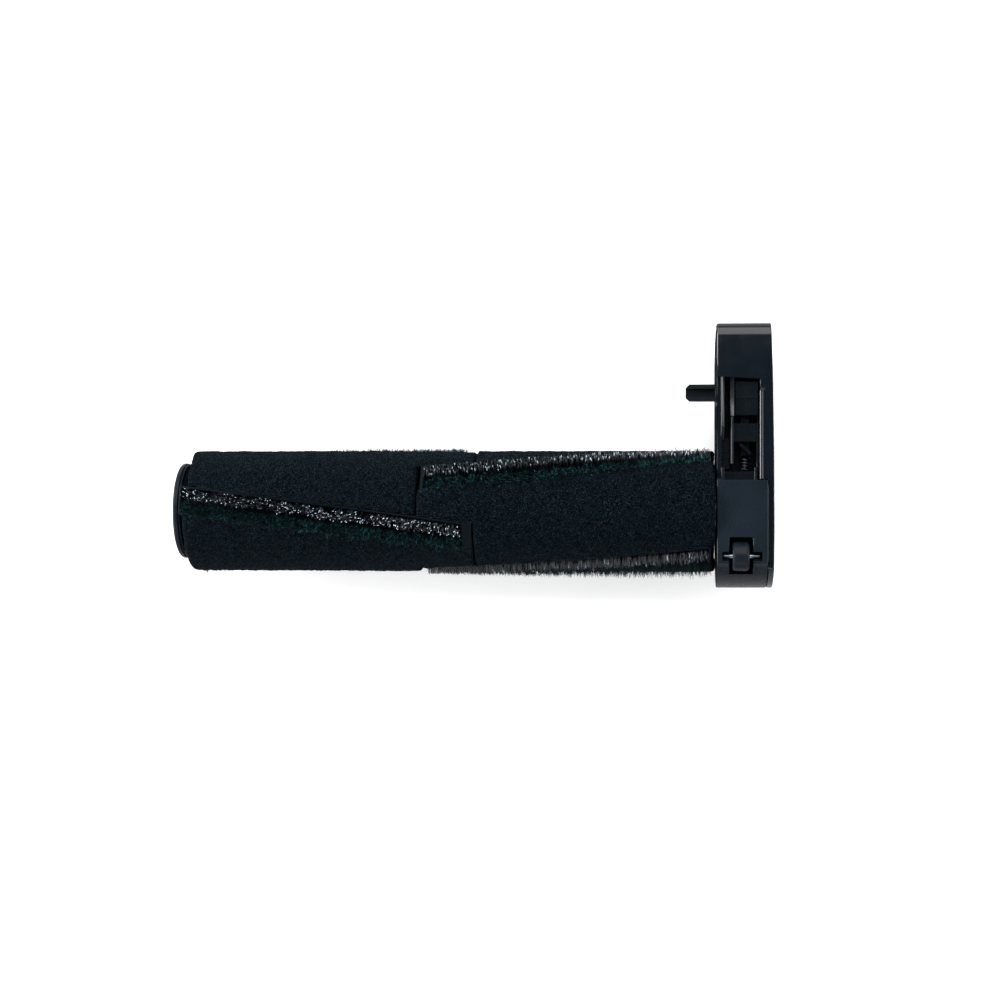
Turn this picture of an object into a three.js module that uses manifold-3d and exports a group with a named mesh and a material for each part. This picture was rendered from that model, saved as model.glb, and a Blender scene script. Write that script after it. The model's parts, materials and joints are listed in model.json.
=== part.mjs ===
// Brush roller cartridge of a wet and dry floor scrubber.
//
// The cartridge is what slides out of the side of the cleaning head: a long roller with velour
// pads and bristle strips, and the side cap that carries its idle end. It lies on the back of the
// cap, with the side that meets the floor in use facing up (+Z).
//
// Inner frame of reference, in millimetres: X runs along the roller axis and is 0 at the face of
// the cap that closes the head, Y points to the rear of the head, Z points to the floor in use,
// and Y = Z = 0 is the roller axis. The finished group is moved so that its origin is the middle
// of the footprint, on the surface that it lies on.

import * as THREE from 'three';
import { mergeVertices } from 'three/addons/utils/BufferGeometryUtils.js';
import Module from 'manifold-3d';

const wasm = await Module();
wasm.setup();

const GAP = 0.3;                 // clearance between neighbouring pieces
const DEGREE = Math.PI / 180;

// ---- driving dimensions ------------------------------------------------------------------

// roller
const ROLLER_LEFT = -245.7;      // outer face of the drive end
const ROLLER_MIDDLE = -121.3;    // where the two halves of the winding meet
const CORE_RADIUS = 20.5;
const CORE_WALL = 2.5;
const CORE_RIGHT = -2.7;
const PAD_RADIUS = 27.5;
const PAD_INNER_RADIUS = CORE_RADIUS + GAP;
const PAD_LEFT = -240.1;
const STRIP_LEFT = -241.6;
const PAD_RIGHT = -0.8;
const OVERLAP_LEFT = -134.1;     // right-hand strips start here
const OVERLAP_RIGHT = -108.5;    // left-hand strips end here
const STRIPS_PER_HALF = 3;
const STRIP_PITCH = 360 / STRIPS_PER_HALF;
const HELIX_RATE = 0.28;         // degrees of lead per millimetre of length
const LEFT_STRIP_ANGLE = 22;     // of the first left strip, at the middle of the roller
const RIGHT_STRIP_ANGLE = 82;    // of the first right strip, half a pitch further

// bristle strip, as a section across the strip: t is across, z is out from the roller axis
const CARRIER_HALF_WIDTH = 6.6;
const CARRIER_WALL = 1.0;
const CARRIER_BASE = 1.8;
const CARRIER_TOP = 26.4;
const LEFT_END_BLOCK = 4.6;      // solid length at the middle of the roller
const RIGHT_END_BLOCK = 1.6;
const STIFF_ROW = { t0: -5.2, t1: -0.5, top: 28.7 };
const SOFT_ROW = { t0: 0.3, t1: 5.2, top: 27.7 };

// drive end
const DISC_RADIUS = 22.0;
const DISC_RIM_WIDTH = 2.4;
const DISC_GROOVE_RADIUS = 20.9;
const DISC_GROOVE_WIDTH = 0.4;
const DISC_RING_RADIUS = 21.6;
const DISC_RING_WIDTH = 0.7;
const PLUG_RADIUS = CORE_RADIUS - CORE_WALL - GAP;
const DRIVE_PLUG_LENGTH = 16;
const SOCKET_RADIUS = 13.2;
const SOCKET_TOOTH_HEIGHT = 1.6;
const SOCKET_TEETH = 12;
const SOCKET_DEPTH = 13;

// idle end and its axle
const IDLE_FLANGE_RADIUS = 20.3;
const IDLE_FLANGE_RIGHT = -1.0;
const IDLE_FLANGE_WIDTH = 1.4;
const IDLE_PLUG_LENGTH = 14;
const BUSH_RADIUS = 7;
const BUSH_LENGTH = 9.5;
const SEAL_RADIUS = 9.7;
const SEAL_SEAT_DEPTH = 2.4;
const AXLE_RADIUS = 4;
const AXLE_LEFT = -16.6;
const AXLE_HEAD_RADIUS = 6.5;
const RUNNING_CLEARANCE = 0.1;
const CIRCLIP_X = -14.6;
const CIRCLIP_WIDTH = 0.8;

// side cap, seen along the roller axis
const FLOOR_SIDE = 24.5;         // underside, which faces the floor in use
const BACK = -29.4;              // upper side of the head, which the part lies on
const NOSE_CENTRE_Y = -3.33;
const NOSE_RADIUS = 31.2;
const REAR_Y = 84.0;             // rear end, upright behind the underside
const REAR_RADIUS = 5.7;
const HEEL_CENTRE = [37, 4];     // the rear end curves in towards the back round here
const HEEL_RADIUS = REAR_Y - HEEL_CENTRE[0];
const HEEL_BLEND = 4;            // length over which the heel runs into the back
const CAP_THICKNESS = 25.3;
const SIDE_BOW_RADIUS = 2460;
const SHELL = 2.0;
const FRAME_INSET = SHELL + GAP;
const FRAME_PLATE = 2.2;
const LOWER_PLATE_X = 22.3;      // outer edge of the frame's floor plate
const LOWER_PLATE_Y = 14.3;      // rear edge of the frame's floor plate
const NOSE_LIP_Z = -5.7;         // the frame wraps round the nose down to here

// latch recess in the cap, open to the underside
const RECESS_X = 18.6;
const RECESS_REAR_Y = 60.2;
const RECESS_SKEW = 1.3;         // its rear edge leans this much over its width
const RECESS_FLOOR = 10;
const RECESS_FLOOR_PLATE = 2;
const RECESS_EDGE_TOP = 19.6;    // the frame plate is cut down to here beside the recess
const RIB_TOP = 22.2;
const END_RIB_TOP = 22.0;
const SIDE_WALL = 1.1;           // thickness of the wall along the cover's side
const SIDE_WALL_TOP = 17.0;      // the slider passes over it
const RAIL_TOP = 22.7;           // cover rail beside the recess
const RAMP_Y = [53.1, 57.2];     // slope between the rail and the rear plate
const BRIDGE = { y0: 31.2, y1: 39.4, z0: 17.4, z1: 20.0 };

// release slider
const SLIDER = { x0: 8.0, x1: 18.3, y0: 43.0, y1: 58.2, z0: 17.4, z1: 20.3 };
const SLIDER_TAIL = { x0: 10.5, x1: 14.5, y0: 25.0, z0: 12.8, z1: 16.8 };
const SHELF_Y = 18.0;
const SHELF_TOP = 20.0;
const SPRING_RADIUS = 2.0;
const SPRING_WIRE = 0.35;
const SPRING_TURNS = 4;

// floor wheel
const WHEEL_Y = -19.5;
const WHEEL_Z = 20.3;
const WHEEL_X = [6.75, 14.25];
const WHEEL_RADIUS = 6.65;
const WHEEL_HUB_RADIUS = 4.6;
const WHEEL_AXLE_RADIUS = 1.0;
const WHEEL_AXLE_X = [2.65, 19.15];
const POCKET = { x0: 5.35, x1: 15.85, y0: -27.5, y1: -11.0, floor: 12.6 };

// locating tongue
const TONGUE = { x0: -13.8, x1: 1.85, y0: 49.4, y1: 56.8, z0: 9.5, z1: 18.5 };
const TONGUE_FLANGE = 1.8;

// cover screws, as [y, z] on the face of the cap
const SCREW_PLACES = [[71, 2], [36, -21], [8, -23.5], [-22, -14]];
const SCREW_HEAD_RADIUS = 2.8;
const SCREW_RADIUS = 1.4;
const SCREW_LENGTH = 11;
const SCREW_CROSS = { half: 1.6, width: 0.8, depth: 1.0 };
const BOSS_RADIUS = 3.2;

// ---- finishes ----------------------------------------------------------------------------

const FINISHES = {
  gloss_black: { color: 0x14161a, roughness: 0.25, metalness: 0 },
  satin_black: { color: 0x181b20, roughness: 0.5, metalness: 0 },
  grey_plastic: { color: 0x3a3f47, roughness: 0.55, metalness: 0 },
  velour: { color: 0x0c0f12, roughness: 0.95, metalness: 0 },
  stiff_bristle: { color: 0xb9bec4, roughness: 0.4, metalness: 0 },
  soft_fibre: { color: 0x16402c, roughness: 0.8, metalness: 0 },
  steel: { color: 0xb4b7ba, roughness: 0.3, metalness: 1 },
  bronze: { color: 0x9a7a4a, roughness: 0.45, metalness: 1 },
  rubber: { color: 0x1d1f22, roughness: 0.8, metalness: 0 },
};

// ---- helpers -----------------------------------------------------------------------------

function piece(name, finish, geometry) {
  const mesh = new THREE.Mesh(geometry, new THREE.MeshStandardMaterial(FINISHES[finish]));
  mesh.name = name;
  return mesh;
}

// A closed geometry as a solid that can be joined and cut.
function solid(geometry) {
  const bare = geometry.clone();
  bare.deleteAttribute('normal');
  bare.deleteAttribute('uv');
  const merged = mergeVertices(bare, 1e-4);
  return new wasm.Manifold(new wasm.Mesh({
    numProp: 3,
    vertProperties: new Float32Array(merged.attributes.position.array),
    triVerts: new Uint32Array(merged.index.array),
  }));
}

function join(...geometries) {
  const whole = geometries.map(solid).reduce((sum, next) => sum.add(next));
  return fromSolid(whole);
}

function cut(geometry, ...tools) {
  const rest = tools.map(solid).reduce((left, tool) => left.subtract(tool), solid(geometry));
  return fromSolid(rest);
}

function common(first, second) {
  return fromSolid(solid(first).intersect(solid(second)));
}

function fromSolid(shape) {
  const mesh = shape.getMesh();
  const geometry = new THREE.BufferGeometry();
  geometry.setAttribute('position', new THREE.BufferAttribute(mesh.vertProperties, 3));
  geometry.setIndex(new THREE.BufferAttribute(mesh.triVerts, 1));
  geometry.computeVertexNormals();
  return geometry;
}

function block(x0, x1, y0, y1, z0, z1) {
  const box = new THREE.BoxGeometry(x1 - x0, y1 - y0, z1 - z0);
  return box.translate((x0 + x1) / 2, (y0 + y1) / 2, (z0 + z1) / 2);
}

// An outline drawn in Y and Z, drawn out along X.
function alongX(shape, x0, x1) {
  const bar = new THREE.ExtrudeGeometry(shape, { depth: x1 - x0, bevelEnabled: false });
  const toX = new THREE.Matrix4().makeBasis(
    new THREE.Vector3(0, 1, 0),
    new THREE.Vector3(0, 0, 1),
    new THREE.Vector3(1, 0, 0),
  );
  return bar.applyMatrix4(toX).translate(x0, 0, 0);
}

// A profile of [radius, x] points turned about the X axis.
function turned(profile, segments = 32) {
  const points = profile.map(([radius, x]) => new THREE.Vector2(radius, x));
  return new THREE.LatheGeometry(points, segments).rotateZ(-Math.PI / 2);
}

function ring(inner, outer, x0, x1, segments = 32) {
  return turned([[inner, x0], [outer, x0], [outer, x1], [inner, x1], [inner, x0]], segments);
}

function rod(radius, x0, x1, segments = 24) {
  return turned([[0, x0], [radius, x0], [radius, x1], [0, x1]], segments);
}

// Moves every corner of a geometry to where place(corner) puts it.
function reshape(geometry, place) {
  const corners = geometry.attributes.position;
  const corner = new THREE.Vector3();
  for (let i = 0; i < corners.count; i += 1) {
    corner.fromBufferAttribute(corners, i);
    place(corner);
    corners.setXYZ(i, corner.x, corner.y, corner.z);
  }
  geometry.computeVertexNormals();
  return geometry;
}

// ---- roller winding ----------------------------------------------------------------------

// Angles round the roller are in degrees: 0 faces the floor side (+Z), and they grow towards
// the nose of the head (-Y).
function leftStripAngle(index, x) {
  return LEFT_STRIP_ANGLE + index * STRIP_PITCH + HELIX_RATE * (x - ROLLER_MIDDLE);
}

function rightStripAngle(index, x) {
  return RIGHT_STRIP_ANGLE + index * STRIP_PITCH - HELIX_RATE * (x - ROLLER_MIDDLE);
}

// A straight bar across [t0, t1] and [z0, z1] that winds round the roller axis along its length.
function woundBar(x0, x1, t0, t1, z0, z1, angleAt) {
  const steps = Math.max(2, Math.round((x1 - x0) / 17));
  const bar = new THREE.BoxGeometry(x1 - x0, t1 - t0, z1 - z0, steps, 1, 1);
  bar.translate((x0 + x1) / 2, -(t0 + t1) / 2, (z0 + z1) / 2);
  const axis = new THREE.Vector3(1, 0, 0);
  return reshape(bar, (corner) => corner.applyAxisAngle(axis, angleAt(corner.x) * DEGREE));
}

// A curved slab of pad between two strips, with its edges parallel to the strips' walls.
function padSlab(x0, x1, firstAngle, lastAngle, arcSteps) {
  const steps = Math.max(2, Math.round((x1 - x0) / 17));
  const slab = new THREE.BoxGeometry(x1 - x0, 1, 1, steps, arcSteps, 1);
  slab.translate((x0 + x1) / 2, 0.5, 0.5);
  return reshape(slab, (corner) => {
    const radius = THREE.MathUtils.lerp(PAD_INNER_RADIUS, PAD_RADIUS, corner.z);
    const edge = Math.asin((CARRIER_HALF_WIDTH + GAP) / radius);
    const low = firstAngle(corner.x) * DEGREE + edge;
    const high = lastAngle(corner.x) * DEGREE - edge;
    const angle = THREE.MathUtils.lerp(high, low, corner.y);
    corner.y = -Math.sin(angle) * radius;
    corner.z = Math.cos(angle) * radius;
  });
}

// Each pad fills the space between two strips of its own half, and one flank of it runs on
// through the overlap until the strips of its half end.
function leftPad(index) {
  const above = (x) => leftStripAngle(index, x);
  const below = (x) => leftStripAngle(index + 1, x);
  const between = (x) => rightStripAngle(index, x);
  const main = padSlab(PAD_LEFT, OVERLAP_LEFT - GAP / 2, above, below, 10);
  const flank = padSlab(OVERLAP_LEFT - 3, OVERLAP_RIGHT - GAP / 2, above, between, 4);
  return join(main, flank);
}

function rightPad(index) {
  const above = (x) => rightStripAngle(index, x);
  const below = (x) => rightStripAngle(index + 1, x);
  const between = (x) => leftStripAngle(index + 1, x);
  const main = padSlab(OVERLAP_RIGHT + GAP / 2, PAD_RIGHT, above, below, 10);
  const flank = padSlab(OVERLAP_LEFT + GAP / 2, OVERLAP_RIGHT + 3, above, between, 4);
  return join(main, flank);
}

// A carrier is a channel that is closed by a block at each end.
function carrier(x0, x1, block0, block1, angleAt) {
  const hollow0 = x0 + block0;
  const hollow1 = x1 - block1;
  const bottom = CORE_RADIUS + GAP;
  const half = CARRIER_HALF_WIDTH;
  const inner = half - CARRIER_WALL;
  const outside = woundBar(x0, x1, -half, half, bottom, CARRIER_TOP, angleAt);
  const hollow = woundBar(hollow0, hollow1, -inner, inner, bottom + CARRIER_BASE, CARRIER_TOP + 2, angleAt);
  return cut(outside, hollow);
}

function tuftRow(x0, x1, row, angleAt) {
  return woundBar(x0, x1, row.t0, row.t1, CORE_RADIUS + GAP + CARRIER_BASE + GAP, row.top, angleAt);
}

function stripPieces(side, index) {
  const left = side === 'left';
  const angleAt = (x) => (left ? leftStripAngle(index, x) : rightStripAngle(index, x));
  const x0 = left ? STRIP_LEFT : OVERLAP_LEFT + 1.6;
  const x1 = left ? OVERLAP_RIGHT - 0.5 : PAD_RIGHT - 1.6;
  const block0 = left ? CARRIER_WALL : RIGHT_END_BLOCK;
  const block1 = left ? LEFT_END_BLOCK : CARRIER_WALL;
  const row0 = x0 + block0 + GAP;
  const row1 = x1 - block1 - GAP;
  const label = `${side}_${index + 1}`;
  return [
    piece(`strip_carrier_${label}`, 'grey_plastic', carrier(x0, x1, block0, block1, angleAt)),
    piece(`stiff_bristles_${label}`, 'stiff_bristle', tuftRow(row0, row1, STIFF_ROW, angleAt)),
    piece(`soft_fibres_${label}`, 'soft_fibre', tuftRow(row0, row1, SOFT_ROW, angleAt)),
  ];
}

// ---- roller core and its ends ------------------------------------------------------------

function coreTube() {
  const x0 = ROLLER_LEFT + DISC_RIM_WIDTH + DISC_GROOVE_WIDTH + DISC_RING_WIDTH + GAP;
  return ring(CORE_RADIUS - CORE_WALL, CORE_RADIUS, x0, CORE_RIGHT, 48);
}

// The toothed socket that the head's drive dog enters.
function socketShape() {
  const shape = new THREE.Shape();
  const stations = SOCKET_TEETH * 4;
  for (let i = 0; i < stations; i += 1) {
    const angle = (i / stations) * 2 * Math.PI;
    const radius = SOCKET_RADIUS - (i % 4 < 2 ? SOCKET_TOOTH_HEIGHT : 0);
    const place = [Math.cos(angle) * radius, Math.sin(angle) * radius];
    if (i === 0) shape.moveTo(...place);
    else shape.lineTo(...place);
  }
  shape.closePath();
  return shape;
}

function driveEnd() {
  const rimEnd = ROLLER_LEFT + DISC_RIM_WIDTH;
  const ringStart = rimEnd + DISC_GROOVE_WIDTH;
  const ringEnd = ringStart + DISC_RING_WIDTH;
  const plugEnd = ringEnd + DRIVE_PLUG_LENGTH;
  const body = turned([
    [0, ROLLER_LEFT],
    [DISC_RADIUS - 0.8, ROLLER_LEFT],
    [DISC_RADIUS, ROLLER_LEFT + 0.8],
    [DISC_RADIUS, rimEnd],
    [DISC_GROOVE_RADIUS, rimEnd],
    [DISC_GROOVE_RADIUS, ringStart],
    [DISC_RING_RADIUS, ringStart],
    [DISC_RING_RADIUS, ringEnd],
    [PLUG_RADIUS, ringEnd],
    [PLUG_RADIUS, plugEnd],
    [0, plugEnd],
  ], 48);
  const socket = alongX(socketShape(), ROLLER_LEFT - 1, ROLLER_LEFT + SOCKET_DEPTH);
  return cut(body, socket);
}

function idleEnd() {
  const flangeRight = IDLE_FLANGE_RIGHT;
  const flangeLeft = flangeRight - IDLE_FLANGE_WIDTH;
  const plugLeft = flangeLeft - IDLE_PLUG_LENGTH;
  const bushSeat = BUSH_RADIUS + RUNNING_CLEARANCE;
  const sealSeat = SEAL_RADIUS + RUNNING_CLEARANCE;
  const sealLeft = flangeRight - SEAL_SEAT_DEPTH;
  const bushLeft = sealLeft - BUSH_LENGTH - 0.4;
  return turned([
    [AXLE_HEAD_RADIUS, plugLeft],
    [PLUG_RADIUS, plugLeft],
    [PLUG_RADIUS, flangeLeft],
    [IDLE_FLANGE_RADIUS, flangeLeft],
    [IDLE_FLANGE_RADIUS, flangeRight],
    [sealSeat, flangeRight],
    [sealSeat, sealLeft],
    [bushSeat, sealLeft],
    [bushSeat, bushLeft],
    [AXLE_HEAD_RADIUS, bushLeft],
    [AXLE_HEAD_RADIUS, plugLeft],
  ]);
}

function bearingBush() {
  const right = -3.7;
  return ring(AXLE_RADIUS + RUNNING_CLEARANCE, BUSH_RADIUS, right - BUSH_LENGTH, right);
}

function lipSeal() {
  const lip = AXLE_RADIUS + RUNNING_CLEARANCE;
  return turned([
    [lip, -2.3],
    [lip + 0.8, -3.1],
    [SEAL_RADIUS, -3.1],
    [SEAL_RADIUS, -1.3],
    [lip + 0.8, -1.3],
    [lip, -1.9],
    [lip, -2.3],
  ]);
}

function stubAxle() {
  const grooveRadius = AXLE_RADIUS - 0.8;
  const headLeft = 8.3;
  return turned([
    [0, AXLE_LEFT],
    [AXLE_RADIUS - 0.6, AXLE_LEFT],
    [AXLE_RADIUS, AXLE_LEFT + 0.6],
    [AXLE_RADIUS, CIRCLIP_X - 0.7],
    [grooveRadius, CIRCLIP_X - 0.7],
    [grooveRadius, CIRCLIP_X + 0.7],
    [AXLE_RADIUS, CIRCLIP_X + 0.7],
    [AXLE_RADIUS, headLeft],
    [AXLE_HEAD_RADIUS, headLeft],
    [AXLE_HEAD_RADIUS, headLeft + 2],
    [0, headLeft + 2],
  ]);
}

function circlip() {
  const x0 = CIRCLIP_X - CIRCLIP_WIDTH / 2;
  const hoop = ring(AXLE_RADIUS - 0.6, AXLE_RADIUS + 1.6, x0, x0 + CIRCLIP_WIDTH, 20);
  return cut(hoop, block(x0 - 1, x0 + 2, -1.6, 1.6, 0, 8));
}

// ---- side cap ----------------------------------------------------------------------------

// Adds points along an arc, the short way round or the way that sweep says, in radians.
function addArc(shape, centreX, centreY, radius, start, sweep, step) {
  const count = Math.ceil(Math.abs(sweep) / (step * DEGREE));
  for (let i = 0; i <= count; i += 1) {
    const angle = start + (sweep * i) / count;
    shape.lineTo(centreX + Math.cos(angle) * radius, centreY + Math.sin(angle) * radius);
  }
}

// Rounds the corner at b of the path a, b, c.
function roundCorner(shape, a, b, c, radius) {
  const start = new THREE.Vector2(...a);
  const corner = new THREE.Vector2(...b);
  const end = new THREE.Vector2(...c);
  const toStart = start.clone().sub(corner).normalize();
  const toEnd = end.clone().sub(corner).normalize();
  const half = Math.acos(toStart.dot(toEnd)) / 2;
  const middle = toStart.clone().add(toEnd).normalize().multiplyScalar(radius / Math.sin(half));
  const centre = corner.clone().add(middle);
  const reach = radius / Math.tan(half);
  const from = toStart.multiplyScalar(reach).add(corner).sub(centre);
  const to = toEnd.multiplyScalar(reach).add(corner).sub(centre);
  const sweep = Math.atan2(from.x * to.y - from.y * to.x, from.dot(to));
  addArc(shape, centre.x, centre.y, radius, from.angle(), sweep, 15);
}

// The cap's outline in Y and Z, drawn inwards by the inset.
function capOutline(inset) {
  const top = FLOOR_SIDE - inset;
  const bottom = BACK + inset;
  const noseRadius = NOSE_RADIUS - inset;
  const noseAt = (z) => NOSE_CENTRE_Y - Math.sqrt(noseRadius ** 2 - z ** 2);
  const [heelY, heelZ] = HEEL_CENTRE;
  const heelRadius = HEEL_RADIUS - inset;
  const heelAt = (z) => heelY + Math.sqrt(heelRadius ** 2 - (z - heelZ) ** 2);
  const heel = new THREE.Vector2(heelAt(bottom), bottom);
  const blendStart = new THREE.Vector2(heel.x - HEEL_BLEND, bottom);
  const blendEnd = new THREE.Vector2(heelAt(bottom + HEEL_BLEND), bottom + HEEL_BLEND);
  const blend = new THREE.QuadraticBezierCurve(blendStart, heel, blendEnd);
  const shape = new THREE.Shape(blend.getPoints(4).slice(0, -1));
  const heelStart = Math.asin((blendEnd.y - heelZ) / heelRadius);
  addArc(shape, heelY, heelZ, heelRadius, heelStart, -heelStart, 7);
  const rear = REAR_Y - inset;
  roundCorner(shape, [rear, heelZ], [rear, top], [0, top], REAR_RADIUS - inset);
  const topAngle = Math.atan2(top, noseAt(top) - NOSE_CENTRE_Y);
  const bottomAngle = Math.atan2(bottom, noseAt(bottom) - NOSE_CENTRE_Y) + 2 * Math.PI;
  addArc(shape, NOSE_CENTRE_Y, 0, noseRadius, topAngle, bottomAngle - topAngle, 7);
  return shape;
}

// The cap seen from the floor side: straight towards the head, gently bowed on the outside.
function planBlock(x0, thickness) {
  const shape = new THREE.Shape();
  const [front, rear] = [-40, 92];
  const bowAt = (y) => thickness - y ** 2 / (2 * SIDE_BOW_RADIUS);
  const stations = 8;
  shape.moveTo(x0, rear);
  shape.lineTo(x0, front);
  for (let i = 0; i <= stations; i += 1) {
    const y = THREE.MathUtils.lerp(front, rear, i / stations);
    shape.lineTo(bowAt(y), y);
  }
  shape.closePath();
  const depth = 80;
  return new THREE.ExtrudeGeometry(shape, { depth, bevelEnabled: false }).translate(0, 0, -depth / 2);
}

function capBody(inset, x0, thickness) {
  return common(alongX(capOutline(inset), x0, CAP_THICKNESS + 1), planBlock(x0 - 1, thickness));
}

// The opening of the recess in the cover, whose rear edge leans a little.
function recessOpening() {
  const shape = new THREE.Shape();
  const right = RECESS_X + GAP;
  shape.moveTo(-1, LOWER_PLATE_Y);
  shape.lineTo(right, LOWER_PLATE_Y);
  shape.lineTo(right, RECESS_REAR_Y - RECESS_SKEW);
  shape.lineTo(-1, RECESS_REAR_Y);
  shape.closePath();
  return new THREE.ExtrudeGeometry(shape, { depth: 40, bevelEnabled: false });
}

// Lowers the rail beside the recess, with a slope up to the rear plate.
function railStep() {
  const shape = new THREE.Shape();
  const [low, high] = RAMP_Y;
  shape.moveTo(-40, RAIL_TOP);
  shape.lineTo(low, RAIL_TOP);
  shape.lineTo(high, FLOOR_SIDE);
  shape.lineTo(high, FLOOR_SIDE + 5);
  shape.lineTo(-40, FLOOR_SIDE + 5);
  shape.closePath();
  return alongX(shape, RECESS_X + GAP, CAP_THICKNESS + 2);
}

function outerCover() {
  const boss = ([y, z]) => rod(BOSS_RADIUS, FRAME_PLATE + GAP, CAP_THICKNESS - 1.5, 12).translate(0, y, z);
  const pilot = ([y, z]) => rod(SCREW_RADIUS + GAP, 0, SCREW_LENGTH + 1.5, 12).translate(0, y, z);
  const shell = cut(capBody(0, 0, CAP_THICKNESS), capBody(SHELL, -1, CAP_THICKNESS - SHELL));
  const rail = block(RECESS_X + GAP, CAP_THICKNESS - 1.5, LOWER_PLATE_Y - 2, RECESS_REAR_Y + 2, 17, 23);
  const lip = block(RECESS_X + GAP, RECESS_X + GAP + 1.1, LOWER_PLATE_Y + GAP, RAMP_Y[0] + 1, 20, RAIL_TOP + 0.5);
  const noseRoom = block(-1, LOWER_PLATE_X + GAP, -40, LOWER_PLATE_Y + GAP, NOSE_LIP_Z - GAP, 40);
  const shaped = cut(join(shell, rail, ...SCREW_PLACES.map(boss)), recessOpening(), noseRoom, railStep());
  return cut(join(shaped, lip), ...SCREW_PLACES.map(pilot));
}

function screwHole([y, z]) {
  const hole = turned([
    [0, -1],
    [SCREW_HEAD_RADIUS + GAP, -1],
    [SCREW_HEAD_RADIUS + GAP, 0.3],
    [SCREW_RADIUS + GAP, 1.7],
    [SCREW_RADIUS + GAP, FRAME_PLATE + 1],
    [0, FRAME_PLATE + 1],
  ], 16);
  return hole.translate(0, y, z);
}

function coverScrew([y, z]) {
  const screw = turned([
    [0, 0.1],
    [SCREW_HEAD_RADIUS, 0.1],
    [SCREW_HEAD_RADIUS, 0.4],
    [SCREW_RADIUS, 1.8],
    [SCREW_RADIUS, SCREW_LENGTH - 1],
    [0.3, SCREW_LENGTH],
    [0, SCREW_LENGTH],
  ], 12);
  const { half, width, depth } = SCREW_CROSS;
  const slotAcross = block(-1, depth, -half, half, -width / 2, width / 2);
  const slotAlong = block(-1, depth, -width / 2, width / 2, -half, half);
  return cut(screw, slotAcross, slotAlong).translate(0, y, z);
}

function noseShell() {
  const region = block(0, LOWER_PLATE_X, -40, LOWER_PLATE_Y, NOSE_LIP_Z, 40);
  const outside = common(alongX(capOutline(0), 0, LOWER_PLATE_X), region);
  return cut(outside, alongX(capOutline(SHELL), FRAME_PLATE, LOWER_PLATE_X + 1));
}

function wheelBracket() {
  const raw = block(1, LOWER_PLATE_X - 1.5, POCKET.y0 - 2, POCKET.y1 + 2, POCKET.floor - 1.6, FLOOR_SIDE);
  return common(raw, alongX(capOutline(SHELL / 2), 0, LOWER_PLATE_X));
}

function wheelCuts() {
  const [axle0, axle1] = WHEEL_AXLE_X;
  const seat = WHEEL_AXLE_RADIUS + 0.15;
  return [
    block(POCKET.x0, POCKET.x1, POCKET.y0, POCKET.y1, POCKET.floor, 40),
    block(axle0 - GAP, axle1 + 0.7, WHEEL_Y - seat, WHEEL_Y + seat, WHEEL_Z - seat, 40),
    block(axle0 - GAP, axle1 + 0.7, WHEEL_Y - 2, WHEEL_Y + 2, WHEEL_Z + 1.3, 40),
  ];
}

// Ribs, walls and shelves of the latch recess, all standing on its floor. Each is set a little
// into its neighbour so that they join into one body.
function recessParts() {
  const base = RECESS_FLOOR - RECESS_FLOOR_PLATE;
  const front = LOWER_PLATE_Y - 1;
  const rear = RECESS_REAR_Y + GAP;
  const rearEnd = rear + 1.2;
  const plate = FRAME_PLATE - 0.2;
  const sideWall = RECESS_X - SIDE_WALL;
  const shelf = [
    block(3.2, 16.6, front, SHELF_Y, base, SHELF_TOP),
    block(plate, 3.3, front, SHELF_Y + 1.9, base, END_RIB_TOP),
    block(16.5, 17.8, front, SHELF_Y + 1.9, base, END_RIB_TOP),
  ];
  const taper = new THREE.Shape();
  taper.moveTo(32, base);
  taper.lineTo(39, base);
  taper.lineTo(39, RIB_TOP);
  taper.lineTo(38.4, RIB_TOP);
  taper.lineTo(32, 19);
  taper.closePath();
  const innerRib = [
    block(plate, 3.35, 38.7, rearEnd, base, RIB_TOP),
    alongX(taper, plate, 3.35),
    block(plate, 5.8, 19.0, 33, base, 17.6),
  ];
  const middleRib = [
    block(5.65, 7.65, 42.6, rearEnd, base, RIB_TOP),
    block(6.15, 7.35, 21.4, 43, base, END_RIB_TOP),
  ];
  return [
    ...shelf,
    ...innerRib,
    ...middleRib,
    block(plate, RECESS_X, front - 0.7, rearEnd, base, RECESS_FLOOR),
    block(plate, RECESS_X, rear, rearEnd, base, FLOOR_SIDE - SHELL - GAP),
    block(plate, LOWER_PLATE_X - 1.5, front - 0.7, LOWER_PLATE_Y, base, FLOOR_SIDE - 1),
    block(sideWall, RECESS_X, front, BRIDGE.y1, base, BRIDGE.z1),
    block(sideWall, RECESS_X, BRIDGE.y1 - 1, rearEnd, base, SIDE_WALL_TOP),
    block(7.2, sideWall + 0.5, BRIDGE.y0, BRIDGE.y1, BRIDGE.z0, BRIDGE.z1),
  ];
}

function innerFrame() {
  const plate = cut(
    alongX(capOutline(FRAME_INSET), 0, FRAME_PLATE),
    block(-1, FRAME_PLATE + 1, LOWER_PLATE_Y + 0.5, RECESS_REAR_Y, RECESS_EDGE_TOP, 30),
  );
  const axleBoss = rod(8, FRAME_PLATE - 0.2, 8);
  const nub = block(-0.7, 0.4, 47.0, 49.0, 16, RECESS_EDGE_TOP - 0.1);
  const whole = join(plate, noseShell(), wheelBracket(), axleBoss, nub, ...recessParts());
  const axleBore = rod(AXLE_RADIUS + RUNNING_CLEARANCE, -1, 9);
  const { y0, y1, z0, z1 } = TONGUE;
  const window = block(-1, FRAME_PLATE - 0.05, y0 - GAP, y1 + GAP, z0 - GAP, z1 + GAP);
  return cut(whole, axleBore, window, ...wheelCuts(), ...SCREW_PLACES.map(screwHole));
}

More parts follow.
